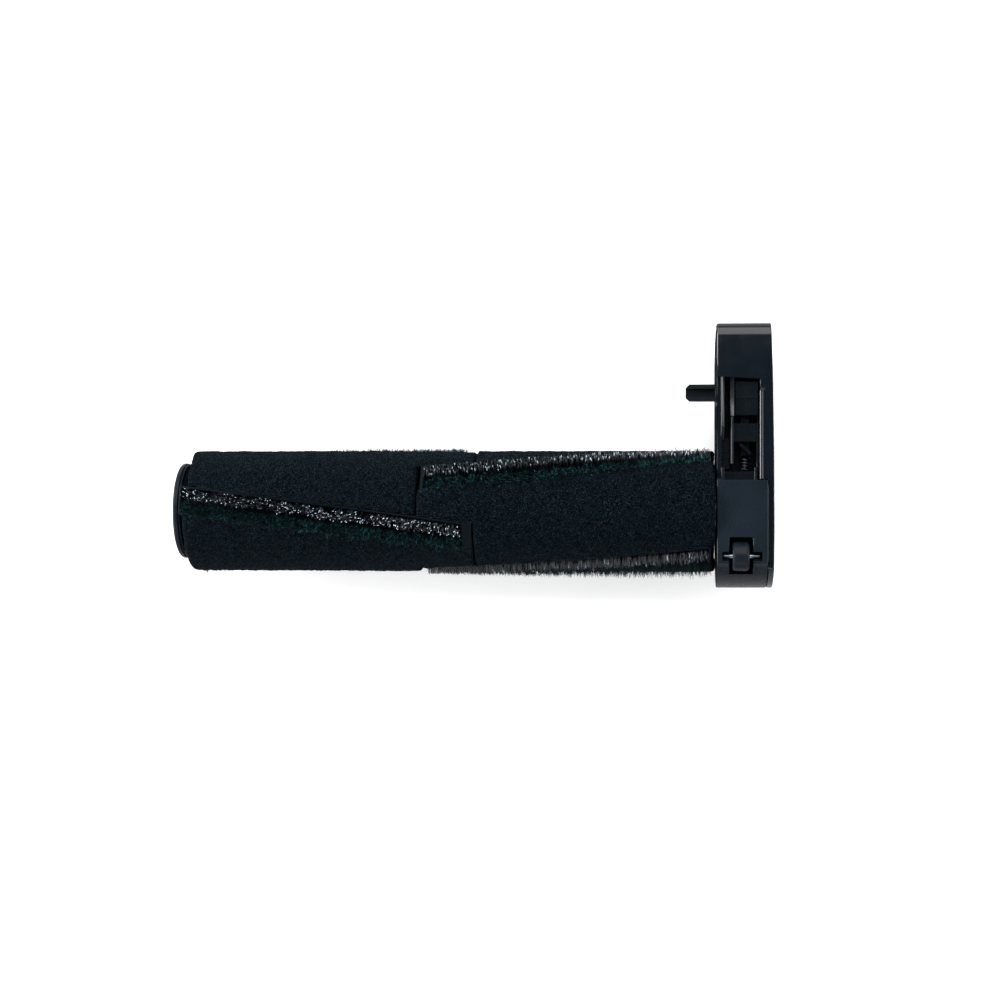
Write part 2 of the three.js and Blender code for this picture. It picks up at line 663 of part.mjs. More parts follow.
// An H-section post with a chamfered tip.
function locatingTongue() {
  const { x0, x1, y0, y1, z0, z1 } = TONGUE;
  const tip = 1.6;
  const plan = new THREE.Shape();
  plan.moveTo(x0, y0 + tip);
  plan.lineTo(x0 + tip, y0);
  plan.lineTo(x1, y0);
  plan.lineTo(x1, y1);
  plan.lineTo(x0 + tip, y1);
  plan.lineTo(x0, y1 - tip);
  plan.closePath();
  const post = new THREE.ExtrudeGeometry(plan, { depth: z1 - z0, bevelEnabled: false }).translate(0, 0, z0);
  const middle = (z0 + z1) / 2;
  const [low, high] = [y0 + TONGUE_FLANGE, y1 - TONGUE_FLANGE];
  const upperGroove = block(x0 - 1, -0.6, low, high, middle + 1.0, z1 + 1);
  const lowerGroove = block(x0 - 1, -0.6, low, high, z0 - 1, middle - 1.0);
  return cut(post, upperGroove, lowerGroove);
}

// ---- release slider ----------------------------------------------------------------------

function releaseSlider() {
  const { x0, x1, y0, y1, z0, z1 } = SLIDER;
  const tail = SLIDER_TAIL;
  const thumbPad = block(x0, x1, y0, y1, z0, z1);
  const step = block(x0, x1, 50.4, y1, z0 + 1, z1 + 0.6);
  const neck = block(tail.x0, tail.x1, y0 + 0.5, y0 + 5, tail.z0, z0 + 1);
  const runner = block(tail.x0, tail.x1, tail.y0, y0 + 5, tail.z0, tail.z1);
  const hook = new THREE.BoxGeometry(7.0, 1.7, 3.4).rotateZ(-43 * DEGREE).translate(12.5, 28.1, 17.3);
  return join(thumbPad, step, neck, runner, hook);
}

function latchSpring() {
  const y0 = SHELF_Y + GAP + SPRING_WIRE;
  const y1 = SLIDER_TAIL.y0 - GAP - SPRING_WIRE;
  const stations = SPRING_TURNS * 8;
  const points = [];
  for (let i = 0; i <= stations; i += 1) {
    const turn = (i / stations) * SPRING_TURNS * 2 * Math.PI;
    points.push(new THREE.Vector3(
      12.5 + Math.cos(turn) * SPRING_RADIUS,
      THREE.MathUtils.lerp(y0, y1, i / stations),
      14.8 + Math.sin(turn) * SPRING_RADIUS,
    ));
  }
  const section = new THREE.Shape().absarc(0, 0, SPRING_WIRE, 0, 2 * Math.PI, false);
  const extrudePath = new THREE.CatmullRomCurve3(points);
  return new THREE.ExtrudeGeometry(section, { steps: stations, curveSegments: 3, extrudePath });
}

// ---- floor wheel -------------------------------------------------------------------------

function wheelHub() {
  const [x0, x1] = WHEEL_X;
  return ring(WHEEL_AXLE_RADIUS + RUNNING_CLEARANCE, WHEEL_HUB_RADIUS, x0 + 0.1, x1 - 0.1, 32);
}

function wheelTyre() {
  const [x0, x1] = WHEEL_X;
  const inner = WHEEL_HUB_RADIUS + RUNNING_CLEARANCE;
  const shoulder = 1.2;
  return turned([
    [inner, x0],
    [WHEEL_RADIUS - shoulder, x0],
    [WHEEL_RADIUS - shoulder * 0.3, x0 + shoulder * 0.3],
    [WHEEL_RADIUS, x0 + shoulder],
    [WHEEL_RADIUS, x1 - shoulder],
    [WHEEL_RADIUS - shoulder * 0.3, x1 - shoulder * 0.3],
    [WHEEL_RADIUS - shoulder, x1],
    [inner, x1],
    [inner, x0],
  ], 32);
}

function wheelAxle() {
  const [x0, x1] = WHEEL_AXLE_X;
  return turned([
    [0, x0],
    [WHEEL_AXLE_RADIUS - 0.3, x0],
    [WHEEL_AXLE_RADIUS, x0 + 0.3],
    [WHEEL_AXLE_RADIUS, x1 - 0.3],
    [WHEEL_AXLE_RADIUS - 0.3, x1],
    [0, x1],
  ], 24);
}

// ---- assembly ----------------------------------------------------------------------------

function roller() {
  const group = new THREE.Group();
  group.add(piece('core_tube', 'satin_black', coreTube()));
  group.add(piece('drive_end_disc', 'gloss_black', driveEnd()));
  group.add(piece('idle_end_plug', 'satin_black', idleEnd()));
  group.add(piece('bearing_bush', 'bronze', bearingBush()));
  group.add(piece('lip_seal', 'rubber', lipSeal()));
  for (let index = 0; index < STRIPS_PER_HALF; index += 1) {
    group.add(piece(`velour_pad_left_${index + 1}`, 'velour', leftPad(index)));
    group.add(piece(`velour_pad_right_${index + 1}`, 'velour', rightPad(index)));
    group.add(...stripPieces('left', index));
    group.add(...stripPieces('right', index));
  }
  return group;
}

function sideCap() {
  const group = new THREE.Group();
  group.add(piece('inner_frame', 'satin_black', innerFrame()));
  group.add(piece('outer_cover', 'gloss_black', outerCover()));
  group.add(piece('locating_tongue', 'satin_black', locatingTongue()));
  group.add(piece('stub_axle', 'steel', stubAxle()));
  group.add(piece('axle_circlip', 'steel', circlip()));
  group.add(piece('thrust_washer', 'steel', ring(AXLE_RADIUS + GAP, 7.6, -0.8, -0.2, 32)));
  SCREW_PLACES.forEach((place, index) => {
    group.add(piece(`cover_screw_${index + 1}`, 'steel', coverScrew(place)));
  });
  group.add(piece('release_slider', 'satin_black', releaseSlider()));
  group.add(piece('latch_spring', 'steel', latchSpring()));
  group.add(piece('wheel_axle', 'steel', wheelAxle().translate(0, WHEEL_Y, WHEEL_Z)));
  group.add(piece('wheel_hub', 'satin_black', wheelHub().translate(0, WHEEL_Y, WHEEL_Z)));
  group.add(piece('wheel_tyre', 'rubber', wheelTyre().translate(0, WHEEL_Y, WHEEL_Z)));
  return group;
}

const cartridge = new THREE.Group();
cartridge.add(roller(), sideCap());

// Origin in the middle of the footprint, on the surface that the back of the cap lies on.
const box = new THREE.Box3().setFromObject(cartridge);
const middle = box.getCenter(new THREE.Vector3());
cartridge.position.set(-middle.x, -middle.y, -box.min.z);

export default cartridge;
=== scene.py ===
# %% [markdown]
# # A brush roller cartridge, piece by piece
#
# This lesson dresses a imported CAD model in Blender. The object is the brush roller of a wet and
# dry floor scrubber with the cap that carries it: black velour pads wound round a core, bristle
# strips in a chevron between them, and a side cap with a floor wheel and a sprung latch. It lies
# on the back of the cap, so the side that meets the floor in use faces up.
#
# The CAD model fixes every size and place. The lesson starts by loading it, because each new
# piece takes its place from a CAD node and moves with that node's body.

# %% Load the frame
import json
import math

import bpy
import numpy as np
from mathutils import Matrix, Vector


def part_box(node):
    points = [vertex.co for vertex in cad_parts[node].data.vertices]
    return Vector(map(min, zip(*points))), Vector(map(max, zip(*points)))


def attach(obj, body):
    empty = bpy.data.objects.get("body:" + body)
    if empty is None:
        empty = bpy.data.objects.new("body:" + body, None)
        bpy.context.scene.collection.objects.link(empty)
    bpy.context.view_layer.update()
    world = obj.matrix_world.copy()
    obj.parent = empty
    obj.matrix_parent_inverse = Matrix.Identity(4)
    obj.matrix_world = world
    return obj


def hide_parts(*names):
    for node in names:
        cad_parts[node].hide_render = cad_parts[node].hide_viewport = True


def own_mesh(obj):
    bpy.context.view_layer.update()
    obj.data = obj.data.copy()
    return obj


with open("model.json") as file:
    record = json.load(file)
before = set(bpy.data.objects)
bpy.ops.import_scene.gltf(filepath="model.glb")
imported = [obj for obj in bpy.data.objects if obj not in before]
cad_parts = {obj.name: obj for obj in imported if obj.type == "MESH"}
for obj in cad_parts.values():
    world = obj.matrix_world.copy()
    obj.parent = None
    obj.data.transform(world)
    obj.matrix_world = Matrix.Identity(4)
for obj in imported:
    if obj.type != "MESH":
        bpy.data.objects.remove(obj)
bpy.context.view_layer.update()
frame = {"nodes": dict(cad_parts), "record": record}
record = frame["record"]
MM = 0.001
bodies = record["behaviour"]["bodies"]
body_of = {node: body for body, nodes in bodies.items() for node in nodes}
slot_of = {part["node"]: part["material_slot"] for part in record["subparts"]}


def middle_of(node):
    low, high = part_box(node)
    return (Vector(low) + Vector(high)) / 2


roller_axis = middle_of("core_tube")
cap_face_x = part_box("outer_cover")[0][0]
print("roller axis at y, z in mm", [round(v / MM, 1) for v in roller_axis[1:]])

# %% [markdown]
# ## Camera
#
# The camera looks almost straight down on the floor side of the cartridge. It stands towards
# the cap and is turned back by a few degrees, so a narrow band of the cap's inner face shows and
# the rings of the drive disc are seen from the roller's side. A long lens keeps the roller nearly
# straight-sided. A small shift moves the frame without tilting the camera up or down, which
# would make the cap's sides converge.

# %% Camera
LENS = 72
SENSOR_WIDTH = 36
FRAME_SHIFT = -0.025
CAMERA_DISTANCE = 0.916
CAMERA_LEAN = math.radians(4.8)
AIM_FROM_CAP = 98.3 * MM
AIM_FROM_AXIS = 16.5 * MM
aim = Vector((cap_face_x - AIM_FROM_CAP, roller_axis.y + AIM_FROM_AXIS, roller_axis.z))
camera_data = bpy.data.cameras.new("camera")
camera_data.lens = LENS
camera_data.sensor_width = SENSOR_WIDTH
camera_data.shift_y = FRAME_SHIFT
camera_data.dof.use_dof = False
camera = bpy.data.objects.new("camera", camera_data)
bpy.context.scene.collection.objects.link(camera)
camera.location = aim + CAMERA_DISTANCE * Vector((math.sin(CAMERA_LEAN), 0, math.cos(CAMERA_LEAN)))
camera.rotation_euler = (0, CAMERA_LEAN, 0)
bpy.context.scene.camera = camera
print("camera at", [round(v, 3) for v in camera.location])

# %% [markdown]
# ## Modelling helpers
#
# The pieces are made with the same tools as by hand: add a primitive, select faces, cut, move,
# bevel. A script has no mouse, so faces are picked by where they are and which way they point.
# Everything is deselected before a piece is added, because an operator acts on all that is
# selected. A finished piece has its place in its mesh and its object at the origin, as every
# CAD node has, so that patterns on Object coordinates stay put.


# %% Modelling helpers
def only(piece):
    """Deselects everything, then selects one piece and makes it active."""
    bpy.ops.object.select_all(action="DESELECT")
    piece.select_set(True)
    bpy.context.view_layer.objects.active = piece
    return piece


def added(name):
    """Names the primitive that was just added and moves its place into its mesh."""
    piece = only(bpy.context.active_object)
    piece.name = piece.data.name = name
    bpy.ops.object.transform_apply(location=True, rotation=True, scale=True)
    return piece


def in_edit_mode(piece, *steps):
    """Runs each step in edit mode on what is selected in the piece's mesh."""
    only(piece)
    bpy.ops.object.mode_set(mode="EDIT")
    for step in steps:
        step()
    bpy.ops.object.mode_set(mode="OBJECT")
    return piece


def pick_faces(piece, wanted):
    """Selects the faces for which wanted(centre, normal) is true, and nothing else."""
    mesh = piece.data
    bpy.context.tool_settings.mesh_select_mode = (False, False, True)
    mesh.vertices.foreach_set("select", [False] * len(mesh.vertices))
    mesh.edges.foreach_set("select", [False] * len(mesh.edges))
    for face in mesh.polygons:
        face.select = bool(wanted(face.center, face.normal))


def finished(piece, kind, **settings):
    """Adds a modifier, sets it up and applies it."""
    only(piece)
    modifier = piece.modifiers.new(kind.lower(), kind)
    for key, value in settings.items():
        setattr(modifier, key, value)
    bpy.ops.object.modifier_apply(modifier=modifier.name)
    return piece


def smooth(piece, degrees=35):
    only(piece)
    bpy.ops.object.shade_smooth_by_angle(angle=math.radians(degrees))
    return piece


def triangles(piece):
    return sum(len(face.vertices) - 2 for face in piece.data.polygons)


# %% [markdown]
# ## Taking a CAD shape over
#
# A CAD node is a bag of loose triangles with razor-sharp edges. Real mouldings have a small
# radius on every edge, and that radius is what catches the light. So the node's mesh is copied,
# its corners are merged, its flat faces are joined back into whole faces, and its edges are
# bevelled. The CAD node itself stays as it is and is only hidden behind the copy.


# %% Taking a CAD shape over
MERGE_DISTANCE = 0.004 * MM
FLAT_WITHIN = math.radians(0.6)


def copy_of(node, name):
    """A clean copy of a CAD node: merged corners, and whole flat faces instead of triangles."""
    source = frame["nodes"][node]
    piece = bpy.data.objects.new(name, source.data.copy())
    piece.data.name = name
    piece.data.materials.clear()
    bpy.context.scene.collection.objects.link(piece)
    only(piece)
    if piece.data.has_custom_normals:
        bpy.ops.mesh.customdata_custom_splitnormals_clear()
    in_edit_mode(
        piece,
        lambda: bpy.ops.mesh.select_all(action="SELECT"),
        lambda: bpy.ops.mesh.remove_doubles(threshold=MERGE_DISTANCE),
        lambda: bpy.ops.mesh.dissolve_limited(angle_limit=FLAT_WITHIN),
    )
    return piece


def stands_for(piece, node, finish):
    """Dresses a piece in a finish and puts it in the place of a CAD node."""
    piece.data.materials.clear()
    piece.data.materials.append(finish)
    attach(piece, body_of[node])
    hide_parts(node)
    return piece


def moulding(node, name, radius, segments=1, angle=30):
    """A CAD shape whose edges sharper than the angle are broken by a radius in millimetres."""
    piece = copy_of(node, name)
    finished(
        piece, "BEVEL", width=radius * MM, segments=segments, limit_method="ANGLE",
        angle_limit=math.radians(angle), use_clamp_overlap=False, miter_outer="MITER_ARC",
    )
    smooth(piece)
    print(name, triangles(piece), "triangles")
    return piece


# %% [markdown]
# ## Shader maths
#
# A finish is a network of nodes. Wiring it by hand takes many lines, so a small class wraps the
# socket of a changing number: adding or multiplying two of them adds the Math node that does
# it. A second class holds one material and adds every other kind of node with one method.


# %% Shader maths
class Value:
    """A number that changes over a surface. Maths on it adds Math nodes."""

    def __init__(self, finish, socket):
        self.finish = finish
        self.socket = socket

    def _with(self, operation, first, second):
        node = self.finish.node("ShaderNodeMath", {"operation": operation}, {0: first, 1: second})
        return Value(self.finish, node.outputs[0])

    def __add__(self, other):
        return self._with("ADD", self, other)

    def __radd__(self, other):
        return self._with("ADD", other, self)

    def __rsub__(self, other):
        return self._with("SUBTRACT", other, self)

    def __mul__(self, other):
        return self._with("MULTIPLY", self, other)

    def __rmul__(self, other):
        return self._with("MULTIPLY", other, self)

    def __pow__(self, other):
        return self._with("POWER", self, other)


class Finish:
    """One procedural material, built round a Principled shader."""

    def __init__(self, name, **constants):
        self.material = bpy.data.materials.new(name)
        self.material.use_nodes = True
        self.tree = self.material.node_tree
        self.tree.nodes.clear()
        output = self.node("ShaderNodeOutputMaterial")
        self.shader = self.node("ShaderNodeBsdfPrincipled")
        self.tree.links.new(self.shader.outputs[0], output.inputs[0])
        self.place = self.node("ShaderNodeTexCoord").outputs["Object"]
        for socket, value in constants.items():
            self.shader.inputs[socket.replace("_", " ")].default_value = value

    def node(self, kind, settings=None, sockets=None):
        """Adds a node, sets it up, then fills its sockets with values or links."""
        node = self.tree.nodes.new(kind)
        for key, value in (settings or {}).items():
            if key == "stops":
                self._set_stops(node.color_ramp, value)
            else:
                setattr(node, key, value)
        for key, value in (sockets or {}).items():
            self.fill(node.inputs[key], value)
        return node

    def _set_stops(self, ramp, stops):
        while len(ramp.elements) < len(stops):
            ramp.elements.new(1.0)
        for element, (position, grey) in zip(ramp.elements, stops):
            element.position = position
            element.color = (grey, grey, grey, 1)

    def fill(self, socket, value):
        if isinstance(value, Value):
            value = value.socket
        if isinstance(value, bpy.types.NodeSocket):
            self.tree.links.new(value, socket)
        else:
            socket.default_value = value

    def noise(self, size, detail=2.0, roughness=0.5, squeeze=(1, 1, 1)):
        """Cloudy noise with lumps about size millimetres across, longer where squeeze is small."""
        mapping = self.node("ShaderNodeMapping", None, {"Vector": self.place, "Scale": squeeze})
        sockets = {"Vector": mapping.outputs[0], "Scale": 1 / (size * MM)}
        sockets.update({"Detail": detail, "Roughness": roughness})
        return Value(self, self.node("ShaderNodeTexNoise", None, sockets).outputs[0])

    def cells(self, size):
        """Distance to the nearest of many scattered points, size millimetres apart."""
        sockets = {"Vector": self.place, "Scale": 1 / (size * MM)}
        return Value(self, self.node("ShaderNodeTexVoronoi", None, sockets).outputs["Distance"])

    def height(self, low, high):
        """0 below the height low and 1 above the height high, both in millimetres."""
        parts = self.node("ShaderNodeSeparateXYZ", None, {0: self.place})
        sockets = {"Value": parts.outputs["Z"], "From Min": low * MM, "From Max": high * MM}
        return Value(self, self.node("ShaderNodeMapRange", None, sockets).outputs[0])

    def attribute(self, name):
        """A number that is stored on the piece's own mesh."""
        return Value(self, self.node("ShaderNodeAttribute", {"attribute_name": name}).outputs["Fac"])

    def ramp(self, value, *stops):
        """Turns a number into another through stops of (position, result)."""
        node = self.node("ShaderNodeValToRGB", {"stops": stops}, {0: value})
        return Value(self, node.outputs[0])

    def mix(self, factor, first, second):
        """A colour between two colours."""
        node = self.node("ShaderNodeMix", {"data_type": "RGBA"}, {0: factor, 6: first, 7: second})
        return node.outputs[2]

    def colour(self, value):
        self.fill(self.shader.inputs["Base Color"], value)

    def tint(self, pattern, low, high):
        """Colours the surface from low to high as a pattern goes from 0 to 1."""
        self.colour(self.mix(pattern, low, high))

    def rough(self, value):
        self.fill(self.shader.inputs["Roughness"], value)

    def bump(self, height, depth, strength=1.0):
        """Raises the surface by up to depth millimetres where height is 1."""
        sockets = {"Strength": strength, "Distance": depth * MM, "Height": height}
        node = self.node("ShaderNodeBump", None, sockets)
        self.fill(self.shader.inputs["Normal"], node.outputs[0])


def rgb(red, green, blue):
    return (red, green, blue, 1)


# %% [markdown]
# ## Black plastics
#
# No black plastic is quite black: all of these are a cold, dark blue-grey, and what tells them
# apart is how they shine. The cover is polished in the mould. It is glossy, with a faint
# orange-peel waviness and the fine wipe marks of handling, which only show in its roughness.
# The frame and the latch are satin from a spark-eroded mould: a fine, even grain. The tongue is
# duller, and the drive disc has faint rings round its rim. The side of the cap that faces the
# roller is out of sight in use, so its mould is left coarse and it hardly shines at all. The
# channels of the bristle strips are a grey plastic with fine lines along them, because they are
# drawn through a die.


# %% Black plastics
# Heights in millimetres over which the painted shade of the recess fades out towards the top
PAINTED_RECESS_SHADE_HEIGHTS = (50.2, 52.6)


def gloss_black():
    finish = Finish("gloss_black_plastic", IOR=1.5, Specular_IOR_Level=0.3)
    finish.tint(finish.noise(18, 2), rgb(0.0014, 0.0030, 0.0050), rgb(0.0028, 0.0048, 0.0072))
    wipes = finish.noise(1.1, 3, 0.6, (1, 0.12, 0.35))
    smudges = finish.noise(9, 3, 0.6)
    finish.rough(0.10 + 0.07 * wipes + 0.07 * finish.ramp(smudges, (0.42, 0), (0.72, 1)))
    finish.bump(finish.noise(2.6, 1) + 0.25 * finish.noise(0.3, 2), 0.006)
    return finish.material


def satin_black():
    """Darker down in the recess than at the very top of the frame: painted shade in the recess."""
    finish = Finish("satin_black_plastic", IOR=1.48, Specular_IOR_Level=0.12)
    # random tone, and painted shade: the colour is darker below the given heights, in the recess
    tone_and_recess_shade = finish.noise(12, 3) * finish.height(*PAINTED_RECESS_SHADE_HEIGHTS)
    finish.tint(tone_and_recess_shade, rgb(0.0022, 0.0040, 0.0058), rgb(0.0085, 0.0130, 0.0185))
    rubbed = finish.ramp(finish.noise(6, 4, 0.65), (0.45, 0), (0.75, 1))
    finish.rough(0.25 - 0.06 * rubbed + 0.05 * finish.noise(0.5, 2))
    finish.bump(finish.noise(0.16, 2, 0.7) + 0.4 * finish.noise(1.4, 2), 0.008)
    return finish.material


def tongue_black():
    finish = Finish("tongue_black_plastic", IOR=1.48, Specular_IOR_Level=0.09)
    finish.tint(finish.noise(3, 3), rgb(0.0018, 0.0032, 0.0048), rgb(0.0048, 0.0075, 0.0105))
    finish.rough(0.34 + 0.10 * finish.noise(0.5, 2))
    finish.bump(finish.noise(0.3, 2, 0.7), 0.01)
    return finish.material


def disc_black():
    finish = Finish("disc_black_plastic", IOR=1.48, Specular_IOR_Level=0.05)
    rings = finish.noise(0.4, 3, 0.6, (1, 0.15, 0.15))
    finish.tint(rings, rgb(0.0030, 0.0052, 0.0076), rgb(0.0070, 0.0105, 0.0145))
    finish.rough(0.22 + 0.12 * rings)
    finish.bump(rings, 0.006)
    return finish.material


def coarse_black():
    finish = Finish("coarse_black_plastic", IOR=1.48, Specular_IOR_Level=0.01)
    grain = finish.cells(0.6)
    finish.tint(grain, rgb(0.0006, 0.0010, 0.0016), rgb(0.0026, 0.0040, 0.0056))
    finish.rough(0.9 - 0.1 * grain)
    finish.bump(grain + finish.noise(0.2, 2), 0.3)
    return finish.material


def grey_plastic():
    finish = Finish("grey_plastic", IOR=1.48, Specular_IOR_Level=0.035)
    drawn = finish.noise(0.5, 3, 0.6, (0.05, 1, 1))
    finish.tint(drawn, rgb(0.0006, 0.0018, 0.0026), rgb(0.0022, 0.0050, 0.0068))
    finish.rough(0.36 + 0.16 * drawn)
    finish.bump(drawn, 0.015)
    return finish.material


GLOSS_BLACK = gloss_black()
SATIN_BLACK = satin_black()
TONGUE_BLACK = tongue_black()
DISC_BLACK = disc_black()
COARSE_BLACK = coarse_black()
GREY_PLASTIC = grey_plastic()
BLACKS = (GLOSS_BLACK, SATIN_BLACK, TONGUE_BLACK, DISC_BLACK, COARSE_BLACK)
print("plastics", [material.name for material in BLACKS], GREY_PLASTIC.name)

# %% [markdown]
# ## Metals and rubber
#
# The axles are ground steel: bright, with fine lines round the shaft from the grinding wheel.
# The latch spring is blackened by heat and oil, which leaves a dull dark oxide. The bush is
# sintered bronze, full of pores that hold oil. The tyre and the seal are soft dark rubber with
# a dusty bloom.


# %% Metals and rubber
def ground_steel():
    finish = Finish("ground_steel", Metallic=1.0)
    lines = finish.noise(0.12, 3, 0.6, (1, 0.2, 0.2))
    finish.tint(lines, rgb(0.16, 0.20, 0.24), rgb(0.34, 0.40, 0.46))
    finish.rough(0.20 + 0.18 * lines + 0.1 * finish.noise(2, 2))
    finish.bump(lines, 0.004)
    return finish.material


def blackened_steel():
    finish = Finish("blackened_steel", Metallic=1.0)
    oxide = finish.noise(0.6, 3, 0.6)
    finish.tint(oxide, rgb(0.020, 0.024, 0.030), rgb(0.060, 0.068, 0.080))
    finish.rough(0.30 + 0.2 * oxide)
    finish.bump(oxide, 0.003)
    return finish.material


def sintered_bronze():
    finish = Finish("sintered_bronze", Metallic=1.0)
    pores = finish.ramp(finish.cells(0.35), (0.15, 1), (0.4, 0))
    finish.tint(pores, rgb(0.42, 0.27, 0.13), rgb(0.12, 0.08, 0.05))
    finish.rough(0.38 + 0.3 * pores)
    finish.bump(1 - pores, 0.03)
    return finish.material


def tyre_rubber():
    finish = Finish("tyre_rubber", IOR=1.5, Specular_IOR_Level=0.08)
    bloom = finish.ramp(finish.noise(3, 4, 0.65), (0.4, 0), (0.7, 1))
    finish.tint(bloom, rgb(0.003, 0.005, 0.008), rgb(0.006, 0.009, 0.013))
    finish.rough(0.30 + 0.15 * bloom)
    finish.bump(finish.noise(0.25, 3, 0.6) + 0.5 * finish.noise(1.5, 2), 0.02)
    return finish.material


STEEL = ground_steel()
SPRING_STEEL = blackened_steel()
BRONZE = sintered_bronze()
RUBBER = tyre_rubber()
print("metals and rubber", STEEL.name, SPRING_STEEL.name, BRONZE.name, RUBBER.name)

# %% [markdown]
# ## Velour
#
# The pads are covered in a dense nap of short loops. From a hand's distance it reads as a black
# cloth with a fine grain: each loop has a lit top and a dark gap beside it, and a few loops
# glint. The lit tops, the dark gaps and the glints are painted light and shade in the colour. The
# loops are a scatter of cells in the bump and in the colour, the larger lumps are in the mesh, and
# a weak cool sheen at grazing angles lifts the edges of the roller as real pile does. Where a pad
# ends at a strip, the top of its upright side is painted paler, a painted sheen of pile seen from
# its flank; a number on the mesh says where.


# %% Velour
def velour():
    finish = Finish(
        "velour", IOR=1.4, Specular_IOR_Level=0.018, Sheen_Weight=0.007, Sheen_Roughness=0.5,
        Sheen_Tint=rgb(0.55, 0.66, 0.78),
    )
    loops = finish.ramp(finish.cells(0.62), (0.0, 1), (0.62, 0))
    fluff = finish.noise(0.3, 3, 0.7)
    lumps = finish.noise(2.4, 3, 0.6)
    nap = 0.5 * loops + 0.4 * fluff + 0.25 * lumps
    # painted shade and highlight: the colour is darker in the gaps between loops and paler on their
    # tops
    shade = finish.ramp(nap, (0.44, 0), (0.74, 1))
    # painted glints: a few spots of the pile are painted paler
    painted_loop_glint = finish.ramp(finish.noise(0.45, 1), (0.56, 0), (0.70, 1))
    pile = finish.mix(shade, rgb(0.0000, 0.0003, 0.0006), rgb(0.0036, 0.0082, 0.0125))
    pile = finish.mix(painted_loop_glint, pile, rgb(0.0115, 0.0210, 0.0285))
    # painted sheen: the top of each upright side, where the pile is seen from its flank, is painted
    # paler
    flank = finish.attribute("flank") * (0.4 + 0.6 * shade)
    finish.tint(flank, pile, rgb(0.0120, 0.0190, 0.0250))
    finish.rough(0.95 - 0.15 * loops)
    finish.bump(nap, 0.7, 0.9)
    return finish.material


VELOUR = velour()

# %% [markdown]
# ## Filaments
#
# The stiff bristles are clear grey nylon. Light travels inside such a filament and leaves it
# near the cut end, so the sides look dark and the paler ones end in a bright point, which is a
# painted glint in the colour. The soft fibres beside them are a fine dark green, painted lighter at
# the tips and darker towards the roots as painted light and shade. Both read two numbers that are
# stored on the mesh: "along", which is 1 at the tip and falls towards the root and places that
# painted light and shade, and a "shade" that differs from one filament to the next and also picks
# the bristles whose tips carry the painted glint.


# %% Filaments
def stiff_bristle():
    finish = Finish("stiff_bristle", IOR=1.53, Specular_IOR_Level=0.3)
    along = finish.attribute("along")
    shade = finish.attribute("shade")
    body = finish.mix(shade, rgb(0.002, 0.003, 0.004), rgb(0.022, 0.030, 0.038))
    # painted glint: the tips of the paler bristles are painted bright
    painted_tip_glint = finish.ramp(along, (0.84, 0), (0.97, 1)) * finish.ramp(shade, (0.64, 0), (0.82, 1))
    finish.tint(painted_tip_glint, body, rgb(0.70, 0.85, 0.97))
    finish.rough(0.34 - 0.10 * shade)
    finish.bump(finish.noise(0.3, 2), 0.01)
    return finish.material


def soft_fibre():
    finish = Finish("soft_fibre", IOR=1.45, Specular_IOR_Level=0.06)
    along = finish.attribute("along")
    shade = finish.attribute("shade")
    root = finish.mix(shade, rgb(0.0002, 0.0009, 0.0011), rgb(0.0006, 0.0030, 0.0036))
    tip = finish.mix(shade ** 6, rgb(0.0010, 0.0060, 0.0072), rgb(0.055, 0.235, 0.245))
    # painted shade and light: the fibres darken towards the roots and are paler at the tips
    finish.tint(along ** 2.2, root, tip)
    finish.rough(0.6 - 0.15 * shade)
    finish.bump(finish.noise(0.25, 2), 0.01)
    return finish.material


STIFF_BRISTLE = stiff_bristle()
SOFT_FIBRE = soft_fibre()
print("textiles", VELOUR.name, STIFF_BRISTLE.name, SOFT_FIBRE.name)
FINISH_OF_SLOT = {
    "gloss_black_plastic": GLOSS_BLACK,
    "satin_black_plastic": SATIN_BLACK,
    "grey_plastic": GREY_PLASTIC,
    "velour": VELOUR,
    "stiff_bristle": STIFF_BRISTLE,
    "soft_fibre": SOFT_FIBRE,
    "steel": STEEL,
    "bronze": BRONZE,
    "rubber": RUBBER,
}

# %% [markdown]
# ## Pieces that keep their CAD shape
#
# Every CAD node first gets the finish of its slot. Most nodes are replaced further down by a
# piece with more detail. The bearing inside the roller and the cover's screws keep their CAD
# shape, because they are hidden or small.

# %% Dress the CAD nodes
for node, cad_object in frame["nodes"].items():
    for material_slot in cad_object.material_slots:
        material_slot.material = FINISH_OF_SLOT[slot_of[node]]
print(len(frame["nodes"]), "nodes dressed")

# %% [markdown]
# ## The cap's mouldings
#
# The cover, the frame, the latch slider and the locating tongue are injection mouldings. Their
# shapes come from CAD. A tool maker gives every outside edge a radius, larger on the polished
# cover, which is held in the hand, than on the frame's thin ribs. The tongue's flanges end in
# tips only 0.2 mm wide, so its radius has to stay under half of that: a wider bevel would cross
# itself there and close the tongue's groove with a crumpled face.

# %% Cover, frame, slider and tongue
CAP_FACE_DEPTH = 0.5 * MM


def coarse_towards_roller(piece):
    """Gives the faces that look at the roller a second, coarse finish."""
    piece.data.materials.append(COARSE_BLACK)
    for face in piece.data.polygons:
        at_cap_face = face.center.x < cap_face_x + CAP_FACE_DEPTH
        face.material_index = 1 if at_cap_face and face.normal.x < -0.9 else 0


def moulded(node, name, radius, finish, **settings):
    """A moulded part that stands for a CAD node, in its finish."""
    return stands_for(moulding(node, name, radius, **settings), node, finish)


cover = moulded("outer_cover", "cover_shell", 0.3, GLOSS_BLACK)
cap_frame = moulded("inner_frame", "cap_frame", 0.22, SATIN_BLACK)
coarse_towards_roller(cover)
coarse_towards_roller(cap_frame)
moulded("release_slider", "latch_slider", 0.25, SATIN_BLACK)
moulded("locating_tongue", "guide_tongue", 0.09, TONGUE_BLACK)

# %% [markdown]
# ## Latch guide ribs
#
# The two ribs beside the slider guide its return. Their crests slope so that the cap can ride
# up on the head when it is pushed home, and the slope is what shines along them: near 40 degrees
# it mirrors the panel at the left. A crest is one face together with the top of the wall behind
# it, and such a face can't tilt, so a bisect cuts it off first. Then the corners along one edge
# of the crest are picked and moved down.

